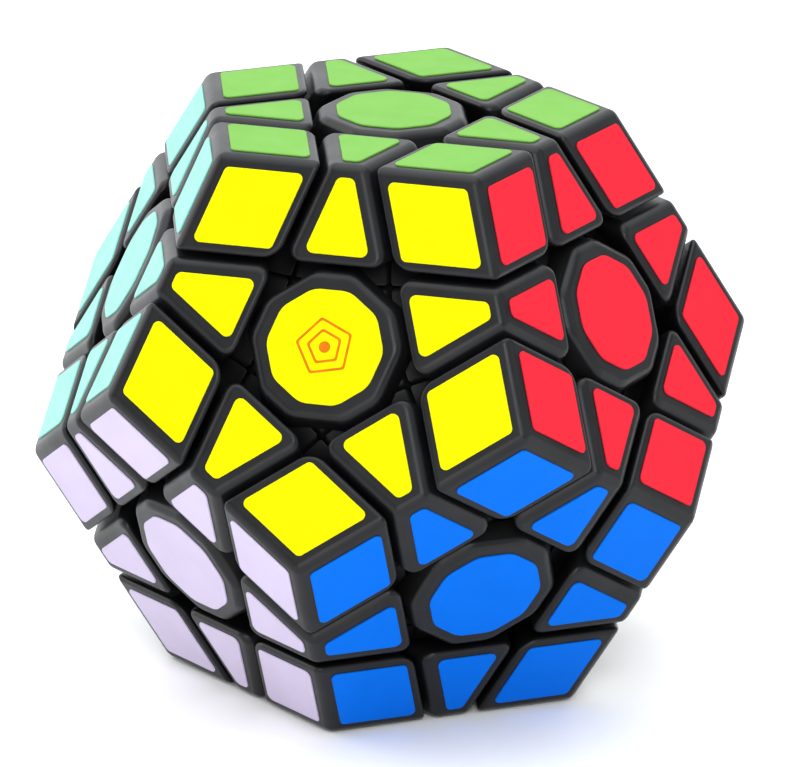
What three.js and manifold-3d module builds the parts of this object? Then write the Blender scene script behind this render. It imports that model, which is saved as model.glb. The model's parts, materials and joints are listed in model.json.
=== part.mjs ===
// A twelve-sided twisty puzzle: a core with twelve arms, and 62 pieces around it that turn in layers.
import * as THREE from "three";
import { mergeVertices } from "three/addons/utils/BufferGeometryUtils.js";
import Module from "manifold-3d";

// Lengths are in millimetres. Distances are from the puzzle's centre along a face's outward normal.
const FACE = 35; // each flat outside face
const CUT = 23.7; // each layer cut, where it passes through the caps
const FOOT_CUT = 21.2; // the same cut through the feet: deeper, so corners hook under edges, edges under centres
const CAP_FLOOR = 33; // radius of the sphere that parts the caps from the feet below them
const FOOT_FLOOR = 27.5; // radius of the hollow inside the feet
const GAP = 0.3; // clearance between neighbouring pieces
const CHAMFER = 0.7; // how far each broken edge is set back along the outside face
const CENTRE_FLAT = 8.8; // apothem of the five small flats that trim a centre cap's corners

const CORE_RADIUS = 9.5;
const ARM_RADIUS = 3.6;
const ARM_TIP = 18; // where an arm ends
const SHANK_RADIUS = 1.4;
const HEAD_RADIUS = 3.2;
const HEAD_BOTTOM = 26.2; // underside of a screw head
const HEAD_TOP = 28.2;
const SLOT_LENGTH = 4.2; // cross recess of a screw head
const SLOT_WIDTH = 0.8;
const SLOT_DEPTH = 1;

const HUB_RADIUS = 5.4;
const HUB_BOTTOM = 18.6; // the hub of a centre piece starts here
const HUB_FLOOR = 20.6; // inside of the hub's floor, which the spring presses on
const HUB_ROOF = 31.5; // top of the room for the screw head
const BORE_RADIUS = 4;
const HOLE_RADIUS = 1.8; // hole for the screw's shank
const PIN_RADIUS = 1.5; // joins a pair of pieces that share a node

const BALL_DETAIL = 5; // facets of the large spheres
const CORE_DETAIL = 2;
const SIDES = 16; // facets of the cylinders

const BLACK = { color: 0x17171b, roughness: 0.42, metalness: 0 };
const GREY = { color: 0x6d7078, roughness: 0.5, metalness: 0 };

const wasm = await Module();
wasm.setup();

// Outward normals. The puzzle rests on the green face; five faces lean up around lime, five lean down.
const TILT = Math.acos(1 / Math.sqrt(5));

function normalAt(polar, degrees) {
  return new THREE.Vector3().setFromSphericalCoords(1, polar, THREE.MathUtils.degToRad(degrees));
}

// setFromSphericalCoords measures from +Y and turns from +Z, so its axes are moved round to make +Z up.
function faceNormal(polar, azimuth) {
  const v = normalAt(polar, azimuth);
  return new THREE.Vector3(v.z, v.x, v.y);
}

const NORMAL = {
  lime: faceNormal(0, 0),
  yellow: faceNormal(TILT, -90),
  red: faceNormal(TILT, -18),
  orange: faceNormal(TILT, 54),
  pink: faceNormal(TILT, 126),
  mint: faceNormal(TILT, 198),
  blue: faceNormal(Math.PI - TILT, -54),
  white: faceNormal(Math.PI - TILT, 18),
  purple: faceNormal(Math.PI - TILT, 90),
  grey: faceNormal(Math.PI - TILT, 162),
  lavender: faceNormal(Math.PI - TILT, 234),
  green: faceNormal(Math.PI, 0),
};
const FACES = Object.keys(NORMAL);

// Centre pieces whose edge beside the green face is joined to them, which keeps the puzzle at sixty nodes.
const JOINED = ["white", "purple", "grey"];

function touching(a, b) {
  return a !== b && NORMAL[a].dot(NORMAL[b]) > 0.4;
}

function solidOf(geometry) {
  const plain = new THREE.BufferGeometry();
  plain.setAttribute("position", geometry.getAttribute("position"));
  plain.setIndex(geometry.getIndex());
  const merged = mergeVertices(plain, 1e-4);
  const mesh = new wasm.Mesh({
    numProp: 3,
    vertProperties: merged.getAttribute("position").array,
    triVerts: new Uint32Array(merged.index.array),
  });
  return new wasm.Manifold(mesh);
}

// The part of a solid on the inner side of the plane normal . x = distance.
function keepBelow(solid, normal, distance) {
  return solid.trimByPlane([-normal.x, -normal.y, -normal.z], -distance);
}

function keepAbove(solid, normal, distance) {
  return solid.trimByPlane(normal.toArray(), distance);
}

// A faceted ball that stays inside its radius, or outside it when outside is true. It starts from an
// icosahedron with a vertex on each face's normal, so it cuts every piece of a kind alike.
function ball(radius, detail, outside) {
  const vertices = FACES.flatMap((face) => NORMAL[face].toArray());
  const indices = [];
  FACES.forEach((a, i) => {
    FACES.forEach((b, j) => {
      FACES.forEach((c, k) => {
        const turnsLeft = NORMAL[a].clone().cross(NORMAL[b]).dot(NORMAL[c]) > 0;
        if (i < j && i < k && touching(a, b) && touching(b, c) && touching(a, c) && turnsLeft) {
          indices.push(i, j, k);
        }
      });
    });
  });
  const geometry = new THREE.PolyhedronGeometry(vertices, indices, radius, detail);
  if (outside) {
    const position = geometry.getAttribute("position");
    const triangle = new THREE.Triangle();
    const plane = new THREE.Plane();
    let nearest = radius;
    for (let i = 0; i < position.count; i += 3) {
      triangle.setFromAttributeAndIndices(position, i, i + 1, i + 2);
      nearest = Math.min(nearest, Math.abs(triangle.getPlane(plane).constant));
    }
    geometry.scale(radius / nearest, radius / nearest, radius / nearest);
  }
  return solidOf(geometry);
}

// A round bar between two points.
function rod(from, to, radius) {
  const along = to.clone().sub(from);
  const geometry = new THREE.CylinderGeometry(radius, radius, along.length(), SIDES);
  const turn = new THREE.Quaternion().setFromUnitVectors(new THREE.Vector3(0, 1, 0), along.clone().normalize());
  geometry.applyQuaternion(turn);
  geometry.translate(...from.clone().add(to).multiplyScalar(0.5).toArray());
  return solidOf(geometry);
}

// A round bar on a face's axis, between two distances from the puzzle's centre.
function axisRod(face, start, end, radius) {
  return rod(NORMAL[face].clone().multiplyScalar(start), NORMAL[face].clone().multiplyScalar(end), radius);
}

// The faces whose cuts close a piece in: those that touch every face the piece shows.
function around(faces) {
  return FACES.filter((other) => faces.every((face) => touching(face, other)));
}

// What the layer cuts at a given distance leave of a solid, for the piece that belongs to the given faces.
function cell(solid, faces, cut) {
  let left = solid;
  for (const face of faces) {
    left = keepAbove(left, NORMAL[face], cut + GAP / 2);
  }
  if (faces.length < 3) {
    for (const face of around(faces)) {
      left = keepBelow(left, NORMAL[face], cut - GAP / 2);
    }
  }
  return left;
}

// Breaks the edge between two planes, each given by its outward normal and its distance.
function breakEdge(solid, normalA, distanceA, normalB, distanceB) {
  const sum = normalA.clone().add(normalB);
  const depth = (CHAMFER * normalA.distanceTo(normalB)) / 2;
  const distance = (distanceA + distanceB) / sum.length() - depth;
  return keepBelow(solid, sum.normalize(), distance);
}

const BLOCK = solidOf(new THREE.BoxGeometry(4 * FACE, 4 * FACE, 4 * FACE));
const UNDER_CAPS = ball(CAP_FLOOR + GAP / 2, BALL_DETAIL, true);
const NECK_ZONE = ball(CAP_FLOOR + 1, BALL_DETAIL, true).subtract(ball(CAP_FLOOR - 1, BALL_DETAIL, false));
const HOLLOW = ball(FOOT_FLOOR, BALL_DETAIL, true);
const FOOT_ZONE = ball(CAP_FLOOR - GAP / 2, BALL_DETAIL, false).subtract(HOLLOW);

// The visible part of a piece, with the edges of its outside faces broken.
function cap(faces) {
  let solid = cell(BLOCK, faces, CUT);
  for (const face of faces) {
    solid = keepBelow(solid, NORMAL[face], FACE);
  }
  for (const face of faces) {
    for (const other of faces.filter((name) => name !== face)) {
      solid = breakEdge(solid, NORMAL[face], FACE, NORMAL[other], FACE);
      solid = breakEdge(solid, NORMAL[face], FACE, NORMAL[other].clone().negate(), -CUT - GAP / 2);
    }
    if (faces.length < 3) {
      for (const other of around(faces)) {
        solid = breakEdge(solid, NORMAL[face], FACE, NORMAL[other], CUT - GAP / 2);
      }
    }
  }
  return solid.subtract(UNDER_CAPS);
}

// Trims the five corners of a centre cap, so that its outline has ten sides.
function trimCorners(solid, face) {
  let left = solid;
  const neighbours = around([face]);
  for (const a of neighbours) {
    for (const b of neighbours.filter((name) => name > a && touching(name, a))) {
      const outward = NORMAL[a].clone().add(NORMAL[b]);
      outward.addScaledVector(NORMAL[face], -outward.dot(NORMAL[face])).normalize();
      outward.addScaledVector(NORMAL[face], 0.25).normalize();
      const onFlat = NORMAL[face].clone().multiplyScalar(FACE);
      const distance = outward.dot(onFlat) + CENTRE_FLAT * Math.sqrt(1 - outward.dot(NORMAL[face]) ** 2);
      left = keepBelow(left, outward, distance);
    }
  }
  return left;
}

// A cap, the foot below it and the neck between them, in one solid.
function piece(faces) {
  const top = faces.length === 1 ? trimCorners(cap(faces), faces[0]) : cap(faces);
  const foot = cell(FOOT_ZONE, faces, FOOT_CUT);
  const neck = cell(cell(NECK_ZONE, faces, CUT), faces, FOOT_CUT);
  return top.add(neck).add(foot);
}

// A centre piece, with the hub that runs on its screw.
function centre(face) {
  const hub = axisRod(face, HUB_BOTTOM, FOOT_FLOOR + 1.5, HUB_RADIUS);
  const room = axisRod(face, HUB_FLOOR, HUB_ROOF, BORE_RADIUS);
  const hole = axisRod(face, HUB_BOTTOM - 1, HUB_FLOOR + 1, HOLE_RADIUS);
  return piece([face]).add(hub).subtract(room).subtract(hole);
}

// A pin across the gap between the feet of a centre piece and an edge piece.
function joiningPin(face, other) {
  const radius = (CAP_FLOOR + FOOT_FLOOR) / 2;
  const axis = NORMAL[face].clone().cross(NORMAL[other]).normalize();
  const gapAngle = TILT - Math.acos(FOOT_CUT / radius);
  const ends = [gapAngle - 0.06, gapAngle + 0.06].map((angle) =>
    NORMAL[face].clone().multiplyScalar(radius).applyAxisAngle(axis, angle),
  );
  return rod(ends[0], ends[1], PIN_RADIUS);
}

// The core: a ball, twelve arms, and a screw standing in each arm.
function core() {
  let solid = ball(CORE_RADIUS, CORE_DETAIL, false);
  for (const face of FACES) {
    solid = solid.add(axisRod(face, 0, ARM_TIP, ARM_RADIUS));
    solid = solid.add(axisRod(face, ARM_TIP - 1, HEAD_BOTTOM + 1, SHANK_RADIUS));
    solid = solid.add(axisRod(face, HEAD_BOTTOM, HEAD_TOP, HEAD_RADIUS));
    for (const size of [[SLOT_LENGTH, SLOT_WIDTH], [SLOT_WIDTH, SLOT_LENGTH]]) {
      const slot = new THREE.BoxGeometry(size[0], 2 * SLOT_DEPTH, size[1]);
      slot.applyQuaternion(new THREE.Quaternion().setFromUnitVectors(new THREE.Vector3(0, 1, 0), NORMAL[face]));
      slot.translate(...NORMAL[face].clone().multiplyScalar(HEAD_TOP).toArray());
      solid = solid.subtract(solidOf(slot));
    }
  }
  return solid;
}

const puzzle = new THREE.Group();
puzzle.position.z = FACE;

function addNode(name, solid, look) {
  const { numProp, vertProperties, triVerts } = solid.getMesh();
  const position = new THREE.InterleavedBuffer(vertProperties, numProp);
  const geometry = new THREE.BufferGeometry();
  geometry.setAttribute("position", new THREE.InterleavedBufferAttribute(position, 3, 0));
  geometry.setIndex(new THREE.BufferAttribute(triVerts, 1));
  const mesh = new THREE.Mesh(geometry, new THREE.MeshStandardMaterial(look));
  mesh.name = name;
  puzzle.add(mesh);
}

addNode("core", core(), GREY);

for (const face of FACES) {
  if (JOINED.includes(face)) {
    const pair = centre(face).add(piece([face, "green"])).add(joiningPin(face, "green"));
    addNode(`centre_${face}_with_edge_${face}_green`, pair, BLACK);
  } else {
    addNode(`centre_${face}`, centre(face), BLACK);
  }
}

// Every pair of touching faces has one edge piece, and every three that touch one another a corner piece.
FACES.forEach((a, i) => {
  for (const b of FACES.slice(i + 1).filter((name) => touching(a, name))) {
    if (!(b === "green" && JOINED.includes(a))) {
      addNode(`edge_${a}_${b}`, piece([a, b]), BLACK);
    }
    for (const c of FACES.slice(FACES.indexOf(b) + 1).filter((name) => touching(a, name) && touching(b, name))) {
      addNode(`corner_${a}_${b}_${c}`, piece([a, b, c]), BLACK);
    }
  }
});

export default puzzle;
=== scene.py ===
"""A twelve-sided twisty puzzle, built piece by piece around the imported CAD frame."""

import json
import math

import bmesh
import bpy
from mathutils import Matrix, Vector


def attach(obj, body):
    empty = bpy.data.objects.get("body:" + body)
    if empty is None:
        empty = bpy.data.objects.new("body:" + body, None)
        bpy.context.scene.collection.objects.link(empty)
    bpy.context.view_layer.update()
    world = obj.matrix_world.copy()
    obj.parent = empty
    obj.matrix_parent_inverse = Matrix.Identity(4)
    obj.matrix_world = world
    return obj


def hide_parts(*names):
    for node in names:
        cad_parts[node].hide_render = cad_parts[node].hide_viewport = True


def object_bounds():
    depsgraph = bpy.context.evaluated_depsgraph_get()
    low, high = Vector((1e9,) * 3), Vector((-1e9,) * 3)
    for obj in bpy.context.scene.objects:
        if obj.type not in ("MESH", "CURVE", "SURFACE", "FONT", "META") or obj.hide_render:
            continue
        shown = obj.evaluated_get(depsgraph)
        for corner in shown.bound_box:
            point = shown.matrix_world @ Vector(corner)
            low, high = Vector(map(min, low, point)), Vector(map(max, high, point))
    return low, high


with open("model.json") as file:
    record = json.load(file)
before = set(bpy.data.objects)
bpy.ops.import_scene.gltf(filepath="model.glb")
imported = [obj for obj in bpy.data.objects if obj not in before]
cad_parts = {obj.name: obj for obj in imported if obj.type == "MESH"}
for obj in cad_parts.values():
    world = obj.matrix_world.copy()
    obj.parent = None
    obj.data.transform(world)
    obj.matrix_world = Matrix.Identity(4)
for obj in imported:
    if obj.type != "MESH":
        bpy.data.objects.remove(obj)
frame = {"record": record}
cad_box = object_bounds()

# Shapes are worked out in millimetres from the puzzle's centre, and turned into metres when a piece is made.
MM = 0.001
CENTRE_HEIGHT = round((cad_box[0][2] + cad_box[1][2]) / 2 / MM, 3)
TINY = 1e-6
ON_PLANE = 1e-3  # a point this near a plane lies on it
MERGE_DIGITS = 3  # points that agree to this many decimals are one vertex

# Distances from the puzzle's centre along a face's outward normal.
STICKER_TOP = CENTRE_HEIGHT  # the puzzle stands on its green stickers
PLASTIC = 34.82
STICKER_BOTTOM = 34.78  # sunk a little into the plastic
CUT = 23.7  # layer cut through the caps
FOOT_CUT = 21.2  # layer cut through the feet
CAP_FLOOR = 33.0  # sphere between caps and feet
FOOT_FLOOR = 27.5  # sphere under the feet
GAP = 0.3  # between feet, and between a cap and the foot under it
CAP_GAP = 0.7  # between two caps
CENTRE_FLAT = 8.5  # apothem of the flats at a centre cap's five corners
FLAT_LEAN = 0.25  # how far those flats lean outwards

CORNER_ROUND = 2.0  # upright edges of edge and corner caps, measured along the wall
CENTRE_ROUND = 1.1  # the same on centre caps, whose corners are blunt
CORNER_SEGMENTS = 6
RIM_ROUND = 0.9  # edges round a cap's outside faces
RIM_SEGMENTS = 4
RIM_ANGLE = 12  # edges sharper than this are rounded, in degrees
OUTSIDE_DEPTH = RIM_ROUND * 0.9  # plastic deeper than this counts as inside, and gets the darker inner plastic as painted shade
FOOT_ROUND = 0.35
FOOT_SEGMENTS = 2
FOOT_ANGLE = 35
NECK_REACH = 0.8  # how far the neck runs into the cap and the foot
NECK_INSET = 0.1  # the neck's walls lie this far inside the cap's
ARC_SHARES = (0, 0.26, 0.34, 0.42, 0.5, 0.58, 0.66, 0.74)  # points on a wall, clear of its rounded ends
ARC_STEPS = len(ARC_SHARES)
EVEN_SHARES = tuple(i / ARC_STEPS for i in range(ARC_STEPS))
PATCH_RINGS = 3

# A centre's hub, which runs on its screw: radii, and heights along the screw.
HUB_RADIUS = 5.4
HUB_BOTTOM = 18.6
HUB_FLOOR = 20.6
HUB_ROOF = 31.5
BORE_RADIUS = 4.0
HOLE_RADIUS = 1.8

RIDGE_BORDER = 1.6  # from a ridge to the sticker, along the face
CUT_BORDER = 1.85  # from the middle of a cut to the sticker
DECAGON_SIDES = 10
DECAGON_APOTHEM = 6.76
DECAGON_ROUND = 3.0
TRAPEZOID_ROUND = 0.8
RHOMBUS_ROUND = 0.7
ROUND_STEPS = 6  # on each rounded corner of a sticker
STICKER_EDGE = 0.06  # chamfer round a sticker's top

EMBLEM_RADII = (3.6, 2.232)  # of the two pentagons
EMBLEM_CORNER = 0.4
EMBLEM_LINE = 0.38
EMBLEM_DOT = 0.7
EMBLEM_INK = 0.012  # how far the print stands out of the sticker
EMBLEM_ROOT = 0.01  # how far it is sunk in
DOT_SIDES = 24

CORE_RADIUS = 9.5
ARM_RADIUS = 3.6
ARM_TIP = 18.0
ROUND_SIDES = 32
ARM_PROFILE = (  # radius and height, with a fillet onto the ball
    (ARM_RADIUS + 2.2, 2),
    (ARM_RADIUS + 2.2, 8.6),
    (ARM_RADIUS + 1.0, 9.4),
    (ARM_RADIUS + 0.3, 10.4),
    (ARM_RADIUS, 11.6),
    (ARM_RADIUS, ARM_TIP - 0.4),
    (ARM_RADIUS - 0.4, ARM_TIP),
)
SHANK_RADIUS = 1.4
SHANK_BOTTOM = ARM_TIP - 4
HEAD_RADIUS = 3.2
HEAD_BOTTOM = 26.2
HEAD_TOP = 28.2
SCREW_PROFILE = (
    (SHANK_RADIUS, SHANK_BOTTOM),
    (SHANK_RADIUS, HEAD_BOTTOM),
    (HEAD_RADIUS - 0.2, HEAD_BOTTOM),
    (HEAD_RADIUS, HEAD_BOTTOM + 0.25),
    (HEAD_RADIUS, HEAD_TOP - 0.9),
    (HEAD_RADIUS - 0.4, HEAD_TOP - 0.3),
    (HEAD_RADIUS - 0.9, HEAD_TOP),
)
CROSS_REACH = 2.0
CROSS_HALF_WIDTH = CROSS_REACH * math.tan(math.tau / ROUND_SIDES)
CROSS_DEPTH = 1.0
SPRING_RADIUS = 2.9
SPRING_WIRE = 0.35
SPRING_TURNS = 5
SPRING_STEPS = 20  # points on one turn
SPRING_FLAT = 0.15  # share of the wire wound flat at each end
SPRING_CLEAR = 0.06

# The studio. Azimuth 0 is -Y and grows towards +X, angles are in degrees, and distances and sizes in metres.
FLOOR_SIZE = 40.0
CAMERA_AZIMUTH = 14.1
CAMERA_ELEVATION = 19.98
CAMERA_ROLL = 0.85
CAMERA_DISTANCE = 1.0536
CAMERA_LENS = 393.7
CAMERA_AIM = (1.2, 0.3, CENTRE_HEIGHT + 0.23)  # in millimetres
LAMPS = (  # name, azimuth, elevation, distance, size, watts, colour
    ("key", 22, 34, 1.2, 0.45, 5.8, (0.93, 0.97, 1.0)),
    ("front", -16, 34, 1.3, 1.0, 2.2, (0.97, 0.98, 1.0)),
    ("left", -85, 25, 1.2, 1.0, 6, (1.0, 0.98, 0.96)),
    ("right", 85, 25, 1.2, 1.0, 3.5, (0.96, 0.98, 1.0)),
    ("low_front", 5, 4, 1.3, 0.8, 7, (1.0, 0.99, 0.97)),
)
ROOM_COLOUR = (0.96, 0.98, 1.0, 1)
ROOM_FRONT = 0.25  # the room's strength in front and on the right
ROOM_BACK = 2.0  # and behind on the left, about BRIGHT_AZIMUTH
BRIGHT_AZIMUTH = -150
BACK_SPREAD = (0.0, 0.7)  # cosines of the angle to BRIGHT_AZIMUTH where that light starts and is full
CEILING = 2.8  # strength added overhead
CEILING_SPREAD = (0.72, 0.92)  # sines of the elevation where it starts and is full
HORIZON = 0.85  # strength added along the horizon
HORIZON_SPREAD = (0.02, 0.1)  # sines of the elevation where it starts to fade and is gone

NEIGHBOUR_COSINE = 1 / math.sqrt(5)  # between the normals of two faces that touch
TILT = math.acos(NEIGHBOUR_COSINE)
# Face name: angle of its normal from +Z in radians, and azimuth from +X in degrees.
DIRECTIONS = {
    "lime": (0, 0),
    "yellow": (TILT, -90),
    "red": (TILT, -18),
    "orange": (TILT, 54),
    "pink": (TILT, 126),
    "mint": (TILT, 198),
    "blue": (math.pi - TILT, -54),
    "white": (math.pi - TILT, 18),
    "purple": (math.pi - TILT, 90),
    "grey": (math.pi - TILT, 162),
    "lavender": (math.pi - TILT, 234),
    "green": (math.pi, 0),
}
# Screen colours, from 0 to 255. Vinyl gives back a share of their light, which the lamps make up for.
VINYL_REFLECTANCE = 0.6
STICKER_COLOURS = {
    "lime": (130, 198, 80),
    "yellow": (255, 250, 0),
    "red": (252, 46, 64),
    "orange": (255, 136, 20),
    "pink": (255, 120, 180),
    "mint": (158, 230, 216),
    "blue": (0, 121, 250),
    "white": (255, 255, 252),
    "purple": (120, 60, 170),
    "grey": (150, 154, 160),
    "lavender": (232, 219, 248),
    "green": (20, 128, 64),
}

BODY_OF_NODE = {
    node: body
    for body, nodes in frame["record"]["behaviour"]["bodies"].items()
    for node in nodes
}


def direction(polar, degrees):
    turn = math.radians(degrees)
    return Vector((math.sin(polar) * math.cos(turn), math.sin(polar) * math.sin(turn), math.cos(polar)))


NORMAL = {face: direction(*angles) for face, angles in DIRECTIONS.items()}
FACES = list(NORMAL)


def touching(a, b):
    return a != b and NORMAL[a].dot(NORMAL[b]) > NEIGHBOUR_COSINE / 2


def around(faces):
    """The faces that touch every face of a piece."""
    return [other for other in FACES if all(touching(face, other) for face in faces)]


# ---------------------------------------------------------------- planes and points


def meet(plane_a, plane_b, plane_c):
    """The point where three planes meet. A plane is (outward normal, distance)."""
    normals = Matrix((plane_a[0], plane_b[0], plane_c[0]))
    return normals.inverted() @ Vector((plane_a[1], plane_b[1], plane_c[1]))


def on_sphere(plane_a, plane_b, radius, near):
    """The point on two planes and a sphere, on the side that near points to."""
    along = plane_a[0].cross(plane_b[0]).normalized()
    start = meet(plane_a, plane_b, (along, 0))
    reach = math.sqrt(radius**2 - start.length_squared)
    return max((start + along * reach, start - along * reach), key=near.dot)


def arc(plane, start, end, shares):
    """Points along the circle in a plane from start towards end, at shares of the way."""
    centre = plane[0] * plane[1]
    a, b = start - centre, end - centre
    angle = math.atan2(plane[0].dot(a.cross(b)), a.dot(b))
    return [centre + Matrix.Rotation(angle * share, 3, plane[0]) @ a for share in shares]


def side_axes(axis):
    """Two unit vectors square to an axis and to each other."""
    across = axis.orthogonal().normalized()
    return across, axis.cross(across)


def by_angle(axis, items, where):
    """Items in order round an axis, seen from outside."""
    across, up = side_axes(axis)
    return sorted(items, key=lambda item: math.atan2(where(item).dot(up), where(item).dot(across)))


def axis_of(faces):
    """The way a piece points: outwards through the middle of its faces."""
    return sum((NORMAL[face] for face in faces), Vector()).normalized()


def walls_of(faces, own_cut, other_cut, gap=GAP):
    """A piece's side planes in order round it: its own faces' cuts, and the cuts beside it."""
    walls = [(-NORMAL[face], -own_cut - gap / 2) for face in faces] if len(faces) > 1 else []
    if len(faces) < 3:
        walls += [(NORMAL[face], other_cut - gap / 2) for face in around(faces)]
    axis = axis_of(faces)
    return by_angle(axis, walls, lambda wall: wall[0])


def corner_flats(face):
    """The five planes that trim a centre cap's corners."""
    flats = []
    for a in around([face]):
        for b in around([face]):
            if a < b and touching(a, b):
                out = NORMAL[a] + NORMAL[b]
                out = (out - out.dot(NORMAL[face]) * NORMAL[face]).normalized()
                out = (out + FLAT_LEAN * NORMAL[face]).normalized()
                lean = out.dot(NORMAL[face])
                flats.append((out, lean * PLASTIC + CENTRE_FLAT * math.sqrt(1 - lean**2)))
    return flats


def lies_on(point, plane):
    return abs(point.dot(plane[0]) - plane[1]) < ON_PLANE


def polygon(plane, others):
    """The corners of the convex face that other planes leave of a plane, in order."""
    corners = []
    for i, a in enumerate(others):
        for b in others[i + 1 :]:
            if abs(plane[0].dot(a[0].cross(b[0]))) < TINY:
                continue
            point = meet(plane, a, b)
            if all(point.dot(other[0]) < other[1] + ON_PLANE for other in others):
                corners.append(point)
    middle = sum(corners, Vector()) / len(corners)
    return by_angle(plane[0], corners, lambda point: point - middle)


# ---------------------------------------------------------------- meshes


def key_of(point):
    """The same for any two points that are near enough to be one vertex."""
    return tuple(round(value, MERGE_DIGITS) for value in point)


class Shape:
    """A mesh being built from faces given by their corner points, in millimetres."""

    def __init__(self):
        self.bm = bmesh.new()
        self.verts = {}

    def vert(self, point):
        key = key_of(point)
        if key not in self.verts:
            self.verts[key] = self.bm.verts.new(point)
        return self.verts[key]

    def face(self, points):
        verts = list(dict.fromkeys(self.vert(point) for point in points))
        if len(verts) > 2:
            self.bm.faces.new(verts)

    def loft(self, loops):
        """Joins each loop to the next with four-sided faces."""
        for low, high in zip(loops, loops[1:]):
            count = len(low)
            for i in range(count):
                j = (i + 1) % count
                self.face((low[i], low[j], high[j], high[i]))

    def fan(self, loop, tip):
        for a, b in zip(loop, loop[1:] + loop[:1]):
            self.face((a, b, tip))

    def patch(self, loop, radius, axis):
        """Closes a loop on a sphere with rings that shrink towards the axis."""
        rings = [loop]
        for i in range(1, PATCH_RINGS):
            share = 1 - i / PATCH_RINGS
            rings.append([(axis * radius).lerp(point, share).normalized() * radius for point in loop])
        self.loft(rings)
        self.fan(rings[-1], axis * radius)

    def bevel(self, edges, offset, segments):
        bmesh.ops.bevel(
            self.bm,
            geom=list(edges),
            offset=offset,
            offset_type="OFFSET",
            segments=segments,
            profile=0.5,
            affect="EDGES",
            clamp_overlap=True,
        )
        self.verts = {}

    def sharp_edges(self, degrees):
        return [
            edge
            for edge in self.bm.edges
            if len(edge.link_faces) == 2 and edge.calc_face_angle() > math.radians(degrees)
        ]

    def add(self, other):
        """Takes in the faces of another shape, and closes the other one."""
        copied = {vert: self.bm.verts.new(vert.co) for vert in other.bm.verts}
        for face in other.bm.faces:
            copy = self.bm.faces.new([copied[vert] for vert in face.verts])
            copy.material_index = face.material_index
        other.bm.free()


def loop_at(walls, radius, axis, shares=ARC_SHARES):
    """A piece's outline on a sphere, with ARC_STEPS points on each wall."""
    corners = [on_sphere(walls[i - 1], walls[i], radius, axis) for i in range(len(walls))]
    points = []
    for i, wall in enumerate(walls):
        points += arc(wall, corners[i], corners[(i + 1) % len(walls)], shares)
    return points


def cap(faces):
    """The outer part of a piece: flat outside faces, cut walls, and a hollow spherical floor."""
    axis = axis_of(faces)
    walls = walls_of(faces, CUT, CUT, CAP_GAP)
    if len(faces) == 1:
        walls = by_angle(axis, walls + corner_flats(faces[0]), lambda wall: wall[0])
    tops = [(NORMAL[face], PLASTIC) for face in faces]
    shape = Shape()
    rim = []
    for top in tops:
        corners = polygon(top, walls + [other for other in tops if other is not top])
        shape.face(corners)
        rim += corners
    radius = CAP_FLOOR + GAP / 2
    floor = loop_at(walls, radius, axis)
    for i, wall in enumerate(walls):
        chain = {key_of(point): point for point in rim if lies_on(point, wall)}
        out = (wall[0] - wall[0].dot(axis) * axis).normalized()
        along = axis.cross(out)
        chain = sorted(chain.values(), key=along.dot)
        low = floor[i * ARC_STEPS : (i + 1) * ARC_STEPS]
        low.append(floor[(i + 1) * ARC_STEPS % len(floor)])
        shape.face(low + chain[::-1])
    shape.patch(floor, radius, axis)
    bmesh.ops.recalc_face_normals(shape.bm, faces=shape.bm.faces)
    round_cap(shape, walls, tops)
    return shape


def round_cap(shape, walls, tops):
    """Rounds a cap's upright edges, then the edges round its outside faces, and marks what lies deeper for
    the darker inner plastic, which is painted shade.
    """

    def shared(edge, planes):
        return [plane for plane in planes if all(lies_on(vert.co, plane) for vert in edge.verts)]

    upright = [edge for edge in shape.bm.edges if len(shared(edge, walls)) == 2]
    shape.bevel(upright, CENTRE_ROUND if len(tops) == 1 else CORNER_ROUND, CORNER_SEGMENTS)
    rim = [edge for edge in shape.sharp_edges(RIM_ANGLE) if shared(edge, tops)]
    shape.bevel(rim, RIM_ROUND, RIM_SEGMENTS)
    # Faces deeper than OUTSIDE_DEPTH take material 1, the inner plastic darkened as painted shade.
    for face in shape.bm.faces:
        depth = min(top[1] - vert.co.dot(top[0]) for vert in face.verts for top in tops)
        face.material_index = int(depth > OUTSIDE_DEPTH)


def foot(faces):
    """The inner part of a piece, hooked under its neighbours' caps. A centre's foot carries its hub."""
    axis = axis_of(faces)
    walls = walls_of(faces, FOOT_CUT, FOOT_CUT)
    shape = Shape()
    high = loop_at(walls, CAP_FLOOR - GAP / 2, axis, EVEN_SHARES)
    low = loop_at(walls, FOOT_FLOOR, axis, EVEN_SHARES)
    shape.loft([low, high])
    shape.patch(high, CAP_FLOOR - GAP / 2, axis)
    if len(faces) > 1:
        shape.patch(low, FOOT_FLOOR, axis)
    else:
        outward = [(point - point.dot(axis) * axis).normalized() for point in low]

        def circle(radius, height):
            return [axis * height + out * radius for out in outward]

        root = math.sqrt(FOOT_FLOOR**2 - HUB_RADIUS**2)
        loops = [low, circle(HUB_RADIUS, root), circle(HUB_RADIUS, HUB_BOTTOM)]
        loops += [circle(HOLE_RADIUS, HUB_BOTTOM), circle(HOLE_RADIUS, HUB_FLOOR)]
        loops += [circle(BORE_RADIUS, HUB_FLOOR), circle(BORE_RADIUS, HUB_ROOF)]
        shape.loft(loops)
        shape.fan(loops[-1], axis * HUB_ROOF)
    bmesh.ops.recalc_face_normals(shape.bm, faces=shape.bm.faces)
    edges = []
    for edge in shape.sharp_edges(FOOT_ANGLE):
        if min(vert.co.length for vert in edge.verts) > FOOT_FLOOR - ON_PLANE:
            edges.append(edge)
    shape.bevel(edges, FOOT_ROUND, FOOT_SEGMENTS)
    # The whole foot takes the inner plastic, darkened as painted shade.
    for face in shape.bm.faces:
        face.material_index = 1
    return shape


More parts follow.
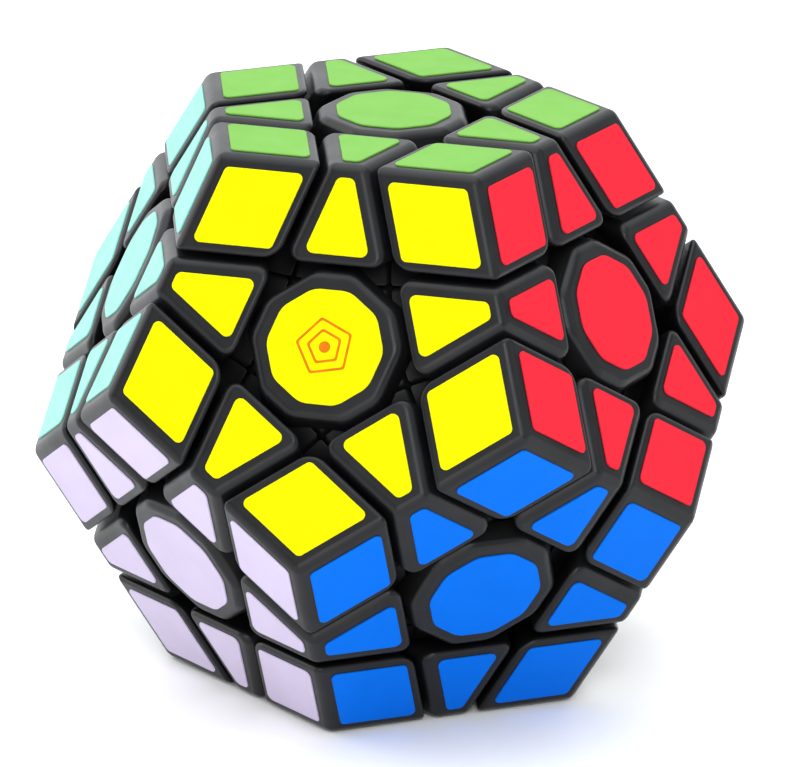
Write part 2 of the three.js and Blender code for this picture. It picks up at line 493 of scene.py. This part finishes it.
def neck(faces):
    """The short stem between a cap and its foot."""
    axis = axis_of(faces)
    walls = walls_of(faces, CUT, FOOT_CUT, CAP_GAP + 2 * NECK_INSET)
    shape = Shape()
    ends = (CAP_FLOOR - NECK_REACH, CAP_FLOOR + NECK_REACH)
    loops = [loop_at(walls, radius, axis) for radius in ends]
    shape.loft(loops)
    for loop, radius in zip(loops, ends):
        shape.patch(loop, radius, axis)
    bmesh.ops.recalc_face_normals(shape.bm, faces=shape.bm.faces)
    # The whole neck takes the inner plastic, darkened as painted shade.
    for face in shape.bm.faces:
        face.material_index = 1
    return shape


def make_object(name, shape, materials, smooth_angle=40):
    """Turns a finished shape into a piece, in metres and in the CAD's frame."""
    mesh = bpy.data.meshes.new(name)
    place = Matrix.Translation((0, 0, CENTRE_HEIGHT * MM)) @ Matrix.Scale(MM, 4)
    bmesh.ops.transform(shape.bm, matrix=place, verts=shape.bm.verts)
    shape.bm.to_mesh(mesh)
    shape.bm.free()
    for material in materials:
        mesh.materials.append(material)
    mesh.shade_smooth()
    mesh.set_sharp_from_angle(angle=math.radians(smooth_angle))
    obj = bpy.data.objects.new(name, mesh)
    bpy.context.scene.collection.objects.link(obj)
    return obj


# ---------------------------------------------------------------- materials


def linear(rgb):
    """Scene-linear colour of an 8-bit screen colour."""
    scaled = [value / 255 for value in rgb]
    return tuple(v / 12.92 if v <= 0.04045 else ((v + 0.055) / 1.055) ** 2.4 for v in scaled) + (1,)


class Surface:
    """A Principled material and short ways to add procedural nodes to it."""

    def __init__(self, name):
        self.material = bpy.data.materials.new(name)
        self.material.use_nodes = True
        self.nodes = self.material.node_tree.nodes
        self.links = self.material.node_tree.links
        self.shader = self.nodes["Principled BSDF"]
        self.coords = self.nodes.new("ShaderNodeTexCoord").outputs["Object"]

    def noise(self, scale, detail=3.0, roughness=0.5, stretch=None):
        source = self.coords
        if stretch:
            mapping = self.nodes.new("ShaderNodeMapping")
            mapping.inputs["Scale"].default_value = stretch
            self.links.new(source, mapping.inputs["Vector"])
            source = mapping.outputs["Vector"]
        node = self.nodes.new("ShaderNodeTexNoise")
        node.inputs["Scale"].default_value = scale
        node.inputs["Detail"].default_value = detail
        node.inputs["Roughness"].default_value = roughness
        self.links.new(source, node.inputs["Vector"])
        return node.outputs["Fac"]

    def colours(self, factor, low, high, start=0.3, end=0.7):
        ramp = self.nodes.new("ShaderNodeValToRGB")
        ramp.color_ramp.elements[0].position = start
        ramp.color_ramp.elements[0].color = low
        ramp.color_ramp.elements[1].position = end
        ramp.color_ramp.elements[1].color = high
        self.links.new(factor, ramp.inputs["Fac"])
        self.links.new(ramp.outputs["Color"], self.shader.inputs["Base Color"])

    def roughness(self, factor, low, high, start=0.3, end=0.7):
        span = self.nodes.new("ShaderNodeMapRange")
        span.inputs["From Min"].default_value = start
        span.inputs["From Max"].default_value = end
        span.inputs["To Min"].default_value = low
        span.inputs["To Max"].default_value = high
        self.links.new(factor, span.inputs["Value"])
        self.links.new(span.outputs["Result"], self.shader.inputs["Roughness"])

    def bump(self, factor, distance, strength=1.0, over=None):
        node = self.nodes.new("ShaderNodeBump")
        node.inputs["Distance"].default_value = distance
        node.inputs["Strength"].default_value = strength
        self.links.new(factor, node.inputs["Height"])
        if over:
            self.links.new(over, node.inputs["Normal"])
        self.links.new(node.outputs["Normal"], self.shader.inputs["Normal"])
        return node.outputs["Normal"]


def grey(value):
    return (value, value, value, 1)


def plastic_material():
    """Satin black moulded plastic: a fine spark-eroded grain and faint handling marks."""
    s = Surface("black_moulded_plastic")
    s.colours(s.noise(scale=220, detail=4), low=(0.003, 0.003, 0.0035, 1), high=(0.006, 0.006, 0.007, 1))
    s.roughness(s.noise(scale=140, detail=5, roughness=0.6), low=0.30, high=0.42)
    s.shader.inputs["Specular IOR Level"].default_value = 0.24
    swirl = s.bump(s.noise(scale=900, detail=2), distance=0.000012, strength=0.5)
    s.bump(s.noise(scale=6500, detail=2), distance=0.000006, strength=0.6, over=swirl)
    return s.material


def shaded_inner_material():
    """The same plastic inside the mechanism, left matt and marked by sliding. Its colour is darker than the
    outside plastic's, as painted shade in the gaps.
    """
    s = Surface("black_plastic_inside_painted_shade")
    # Darker than the outside plastic: painted shade for the gaps between pieces.
    s.colours(s.noise(scale=300, detail=4), low=(0.002, 0.002, 0.0022, 1), high=(0.004, 0.004, 0.0044, 1))
    s.roughness(s.noise(scale=90, detail=4, roughness=0.6, stretch=(1, 1, 4)), low=0.45, high=0.65)
    s.shader.inputs["Specular IOR Level"].default_value = 0.2
    s.bump(s.noise(scale=3000, detail=2), distance=0.000008, strength=0.5)
    return s.material


def sticker_material(face):
    """Coloured vinyl: even colour with a trace of mottling, and a soft orange-peel surface."""
    s = Surface("vinyl_" + face)
    colour = Vector(linear(STICKER_COLOURS[face])[:3]) * VINYL_REFLECTANCE
    darker = colour * 0.96
    s.colours(s.noise(scale=160, detail=3), low=(*darker, 1), high=(*colour, 1), start=0.35, end=0.6)
    s.roughness(s.noise(scale=300, detail=4), low=0.32, high=0.44)
    s.shader.inputs["Specular IOR Level"].default_value = 0.035
    peel = s.bump(s.noise(scale=700, detail=2), distance=0.00001, strength=0.35)
    s.bump(s.noise(scale=4200, detail=1), distance=0.000004, strength=0.5, over=peel)
    return s.material


def ink_material():
    """Orange screen print, a little uneven."""
    s = Surface("orange_ink")
    s.colours(s.noise(scale=900, detail=3), low=(0.42, 0.10, 0.0, 1), high=(0.50, 0.14, 0.0, 1))
    s.roughness(s.noise(scale=1200, detail=2), low=0.4, high=0.55)
    s.shader.inputs["Specular IOR Level"].default_value = 0.1
    return s.material


def core_material():
    """Grey nylon, slightly mottled."""
    s = Surface("grey_nylon")
    s.colours(s.noise(scale=260, detail=4), low=grey(0.10), high=grey(0.16))
    s.roughness(s.noise(scale=500, detail=3), low=0.45, high=0.6)
    s.bump(s.noise(scale=3500, detail=2), distance=0.00001, strength=0.5)
    return s.material


def steel_material(name, tint):
    """Bare or plated steel, as bright as its tint."""
    s = Surface(name)
    s.shader.inputs["Metallic"].default_value = 1.0
    s.colours(s.noise(scale=600, detail=3), low=grey(tint * 0.8), high=grey(tint))
    s.roughness(s.noise(scale=1500, detail=3), low=0.22, high=0.36)
    s.bump(s.noise(scale=5000, detail=2), distance=0.000004, strength=0.4)
    return s.material


PLASTIC_MATERIAL = plastic_material()
SHADED_INNER_MATERIAL = shaded_inner_material()
CORE_MATERIAL = core_material()
SCREW_MATERIAL = steel_material("zinc_plated_steel", 0.6)
SPRING_MATERIAL = steel_material("spring_steel", 0.5)
INK_MATERIAL = ink_material()
VINYL = {face: sticker_material(face) for face in FACES}


# ---------------------------------------------------------------- pieces


def kind_of(faces):
    return ("centre", "edge", "corner")[len(faces) - 1]


def node_of(faces):
    """The CAD node that holds a piece. Three centres share theirs with the edge next to green."""
    plain = kind_of(faces) + "_" + "_".join(faces)
    if plain in BODY_OF_NODE:
        return plain
    first = faces[0]
    return f"centre_{first}_with_edge_{first}_green"


def puzzle_piece(faces):
    """One centre, edge or corner: a cap, a neck and a foot."""
    shape = cap(faces)
    shape.add(neck(faces))
    shape.add(foot(faces))
    name = "piece_" + kind_of(faces) + "_" + "_".join(faces)
    # The second material is the inner plastic, darkened as painted shade.
    obj = make_object(name, shape, [PLASTIC_MATERIAL, SHADED_INNER_MATERIAL])
    weighted = obj.modifiers.new("even shading", "WEIGHTED_NORMAL")
    weighted.keep_sharp = True
    node = node_of(faces)
    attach(obj, BODY_OF_NODE[node])
    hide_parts(node)
    return obj


def round_corners(points, normal, radius):
    """A flat convex outline with each corner turned into an arc."""
    rounded = []
    count = len(points)
    for i, point in enumerate(points):
        to_last = (points[i - 1] - point).normalized()
        to_next = (points[(i + 1) % count] - point).normalized()
        half = to_last.angle(to_next) / 2
        centre = point + (to_last + to_next).normalized() * radius / math.sin(half)
        start = point + to_last * radius / math.tan(half) - centre
        sweep = math.pi - 2 * half
        for step in range(ROUND_STEPS + 1):
            rounded.append(centre + Matrix.Rotation(sweep * step / ROUND_STEPS, 3, normal) @ start)
    return rounded


def sticker_outline(faces, face):
    """The corners of the sticker that a piece wears on one of its faces."""
    normal = NORMAL[face]
    if len(faces) == 1:
        planes = []
        neighbour = NORMAL[around(faces)[0]]
        first = (neighbour - neighbour.dot(normal) * normal).normalized()
        for i in range(DECAGON_SIDES):
            out = Matrix.Rotation(math.tau * i / DECAGON_SIDES, 3, normal) @ first
            planes.append((out, DECAGON_APOTHEM))
    else:
        across = math.sin(TILT)
        planes = [
            (out, distance - (CUT_BORDER - GAP / 2) * across)
            for out, distance in walls_of(faces, CUT, CUT)
            if out.cross(normal).length > TINY
        ]
        planes += [(NORMAL[other], STICKER_TOP - RIDGE_BORDER * across) for other in faces if other != face]
    return polygon((normal, STICKER_TOP), planes)


def sticker(faces, face):
    """The vinyl on one of a piece's faces, with a fine chamfer round its top."""
    normal = NORMAL[face]
    radius = (DECAGON_ROUND, TRAPEZOID_ROUND, RHOMBUS_ROUND)[len(faces) - 1]
    outline = round_corners(sticker_outline(faces, face), normal, radius)
    middle = sum(outline, Vector()) / len(outline)
    inner = [point + (middle - point).normalized() * STICKER_EDGE for point in outline]
    shape = Shape()
    bottom = [point + normal * (STICKER_BOTTOM - STICKER_TOP) for point in outline]
    shoulder = [point - normal * STICKER_EDGE for point in outline]
    shape.face(bottom[::-1])
    shape.loft([bottom, shoulder, inner])
    shape.face(inner)
    bmesh.ops.recalc_face_normals(shape.bm, faces=shape.bm.faces)
    piece_name = kind_of(faces) + "_" + "_".join(faces)
    obj = make_object(f"sticker_{face}_on_{piece_name}", shape, [VINYL[face]], smooth_angle=30)
    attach(obj, BODY_OF_NODE[node_of(faces)])
    return obj


def ring_of(sides, radius, normal, height, turn=0.0):
    """A regular outline round a face's axis."""
    across, up = side_axes(normal)
    angles = [math.tau * i / sides + turn for i in range(sides)]
    return [normal * height + (across * math.cos(a) + up * math.sin(a)) * radius for a in angles]


def emblem(face):
    """A plain print on a centre's sticker: two nested pentagon outlines round a dot."""
    normal = NORMAL[face]
    low, high = STICKER_TOP - EMBLEM_ROOT, STICKER_TOP + EMBLEM_INK
    shape = Shape()
    point_up = math.tau / 4
    for outside in EMBLEM_RADII:
        inside = outside - EMBLEM_LINE
        loops = []
        for radius, height in ((outside, low), (outside, high), (inside, high), (inside, low)):
            corners = ring_of(5, radius, normal, height, point_up)
            loops.append(round_corners(corners, normal, EMBLEM_CORNER))
        shape.loft([*loops, loops[0]])
    dot = [ring_of(DOT_SIDES, EMBLEM_DOT, normal, height) for height in (low, high)]
    shape.loft(dot)
    for disc in dot:
        shape.face(disc)
    bmesh.ops.recalc_face_normals(shape.bm, faces=shape.bm.faces)
    obj = make_object("emblem_on_centre_" + face, shape, [INK_MATERIAL], smooth_angle=30)
    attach(obj, BODY_OF_NODE[node_of([face])])


def all_pieces():
    """The faces of every centre, edge and corner."""
    for i, a in enumerate(FACES):
        yield [a]
        for j in range(i + 1, len(FACES)):
            if not touching(a, FACES[j]):
                continue
            yield [a, FACES[j]]
            for c in FACES[j + 1 :]:
                if touching(a, c) and touching(FACES[j], c):
                    yield [a, FACES[j], c]


for piece_faces in all_pieces():
    puzzle_piece(piece_faces)
    for piece_face in piece_faces:
        sticker(piece_faces, piece_face)
emblem("yellow")


# ---------------------------------------------------------------- core, screws and springs


def spindle(axis, rings, low, high):
    """A closed solid through rings round an axis, drawn to a point on the axis at each end."""
    shape = Shape()
    shape.loft(rings)
    shape.fan(rings[0], axis * low)
    shape.fan(rings[-1], axis * high)
    bmesh.ops.recalc_face_normals(shape.bm, faces=shape.bm.faces)
    return shape


def rings_of(axis, profile):
    """A turned profile of radii and heights, as rings round an axis."""
    return [ring_of(ROUND_SIDES, radius, axis, height) for radius, height in profile]


def core():
    """The ball in the middle, with an arm for each screw."""
    shape = Shape()
    bmesh.ops.create_icosphere(shape.bm, subdivisions=4, radius=CORE_RADIUS)
    for axis in NORMAL.values():
        shape.add(spindle(axis, rings_of(axis, ARM_PROFILE), ARM_PROFILE[0][1], ARM_TIP))
    obj = make_object("core_body", shape, [CORE_MATERIAL], smooth_angle=35)
    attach(obj, BODY_OF_NODE["core"])
    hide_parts("core")


def cross_of(axis, height):
    """The outline of a screw's cross recess. Its corners fall on the rays of the head's outline."""
    across, up = side_axes(axis)
    outline = []
    for i in range(ROUND_SIDES):
        angle = math.tau * i / ROUND_SIDES
        along, beside = (max(abs(share), TINY) for share in (math.cos(angle), math.sin(angle)))
        level_arm = min(CROSS_REACH / along, CROSS_HALF_WIDTH / beside)
        upright_arm = min(CROSS_REACH / beside, CROSS_HALF_WIDTH / along)
        reach = max(level_arm, upright_arm)
        outline.append(axis * height + (across * math.cos(angle) + up * math.sin(angle)) * reach)
    return outline


def screw(face):
    """A pan-head screw with a cross recess, standing in its arm of the core."""
    axis = NORMAL[face]
    recess_floor = HEAD_TOP - CROSS_DEPTH
    rings = rings_of(axis, SCREW_PROFILE) + [cross_of(axis, HEAD_TOP), cross_of(axis, recess_floor)]
    shape = spindle(axis, rings, SHANK_BOTTOM, recess_floor)
    obj = make_object("screw_" + face, shape, [SCREW_MATERIAL], smooth_angle=35)
    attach(obj, BODY_OF_NODE["core"])
    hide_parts("core")


def spring(face):
    """A compression spring between the hub's floor and the screw's head, with flat end turns."""
    axis = NORMAL[face]
    across, up = side_axes(axis)
    low = HUB_FLOOR + SPRING_WIRE + SPRING_CLEAR
    high = HEAD_BOTTOM - SPRING_WIRE
    count = SPRING_TURNS * SPRING_STEPS
    curve = bpy.data.curves.new("spring_" + face, "CURVE")
    curve.dimensions = "3D"
    curve.bevel_depth = SPRING_WIRE * MM
    curve.bevel_resolution = 3
    curve.use_fill_caps = True
    line = curve.splines.new("POLY")
    line.points.add(count)
    for i in range(count + 1):
        angle = math.tau * i / SPRING_STEPS
        rise = min(max((i / count - SPRING_FLAT) / (1 - 2 * SPRING_FLAT), 0), 1)
        point = axis * (low + (high - low) * rise)
        point += (across * math.cos(angle) + up * math.sin(angle)) * SPRING_RADIUS
        point = (point + Vector((0, 0, CENTRE_HEIGHT))) * MM
        line.points[i].co = (*point, 1)
    curve.materials.append(SPRING_MATERIAL)
    obj = bpy.data.objects.new("spring_" + face, curve)
    bpy.context.scene.collection.objects.link(obj)
    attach(obj, BODY_OF_NODE["core"])


core()
for piece_face in FACES:
    screw(piece_face)
    spring(piece_face)


# ---------------------------------------------------------------- floor, light and camera


def floor():
    """A plain pale floor that runs out of sight."""
    bpy.ops.mesh.primitive_plane_add(size=FLOOR_SIZE, location=(0, 0, 0))
    obj = bpy.context.object
    obj.name = "studio_floor"
    s = Surface("pale_floor")
    s.colours(s.noise(scale=0.3, detail=2), low=grey(0.84), high=grey(0.86))
    s.shader.inputs["Roughness"].default_value = 0.9
    s.shader.inputs["Specular IOR Level"].default_value = 0.0
    obj.data.materials.append(s.material)


def towards(azimuth, elevation):
    """The unit vector from the puzzle towards a lamp or the camera."""
    turn, rise = math.radians(azimuth), math.radians(elevation)
    return Vector((math.sin(turn) * math.cos(rise), -math.cos(turn) * math.cos(rise), math.sin(rise)))


def softbox(name, azimuth, elevation, distance, size, power, colour):
    """A square lamp that faces the puzzle."""
    data = bpy.data.lights.new(name, "AREA")
    data.shape = "SQUARE"
    data.size = size
    data.energy = power
    data.color = colour
    obj = bpy.data.objects.new(name, data)
    back = towards(azimuth, elevation)
    obj.location = back * distance + Vector((0, 0, CENTRE_HEIGHT * MM))
    obj.rotation_euler = (-back).to_track_quat("-Z", "Y").to_euler()
    bpy.context.scene.collection.objects.link(obj)


def camera():
    """Long lens, a little above the puzzle and to its right, turned by a trace of roll."""
    data = bpy.data.cameras.new("camera")
    data.lens = CAMERA_LENS
    data.sensor_width = 36
    data.clip_start = 0.05
    data.clip_end = 20
    obj = bpy.data.objects.new("camera", data)
    back = towards(CAMERA_AZIMUTH, CAMERA_ELEVATION)
    place = Matrix.Translation(Vector(CAMERA_AIM) * MM + back * CAMERA_DISTANCE)
    turn = (-back).to_track_quat("-Z", "Y").to_matrix().to_4x4()
    roll = Matrix.Rotation(math.radians(CAMERA_ROLL), 4, "Z")
    obj.matrix_world = place @ turn @ roll
    bpy.context.scene.collection.objects.link(obj)
    bpy.context.scene.camera = obj


def white_room():
    """Soft light from all round: dim in front, and bright behind on the left, overhead and low down."""
    world = bpy.data.worlds.new("white_room")
    world.use_nodes = True
    nodes, links = world.node_tree.nodes, world.node_tree.links
    coords = nodes.new("ShaderNodeTexCoord").outputs["Generated"]

    def glow(axis, spread, low, high):
        """Strength that goes from low to high as a direction's share along an axis crosses the spread."""
        share = nodes.new("ShaderNodeVectorMath")
        share.operation = "DOT_PRODUCT"
        share.inputs[1].default_value = axis
        links.new(coords, share.inputs[0])
        span = nodes.new("ShaderNodeMapRange")
        span.interpolation_type = "SMOOTHSTEP"
        span.inputs["From Min"].default_value = spread[0]
        span.inputs["From Max"].default_value = spread[1]
        span.inputs["To Min"].default_value = low
        span.inputs["To Max"].default_value = high
        links.new(share.outputs["Value"], span.inputs["Value"])
        return span.outputs["Result"]

    def both(a, b):
        total = nodes.new("ShaderNodeMath")
        total.operation = "ADD"
        links.new(a, total.inputs[0])
        links.new(b, total.inputs[1])
        return total.outputs["Value"]

    up = Vector((0, 0, 1))
    sides = glow(towards(BRIGHT_AZIMUTH, 0), BACK_SPREAD, ROOM_FRONT, ROOM_BACK)
    overhead = glow(up, CEILING_SPREAD, 0.0, CEILING)
    low_down = glow(up, HORIZON_SPREAD, HORIZON, 0.0)
    background = nodes["Background"]
    background.inputs["Color"].default_value = ROOM_COLOUR
    links.new(both(sides, both(overhead, low_down)), background.inputs["Strength"])
    bpy.context.scene.world = world


floor()
for lamp in LAMPS:
    softbox(*lamp)
camera()
white_room()
bpy.context.scene.view_settings.view_transform = "Standard"
bpy.context.scene.view_settings.look = "None"
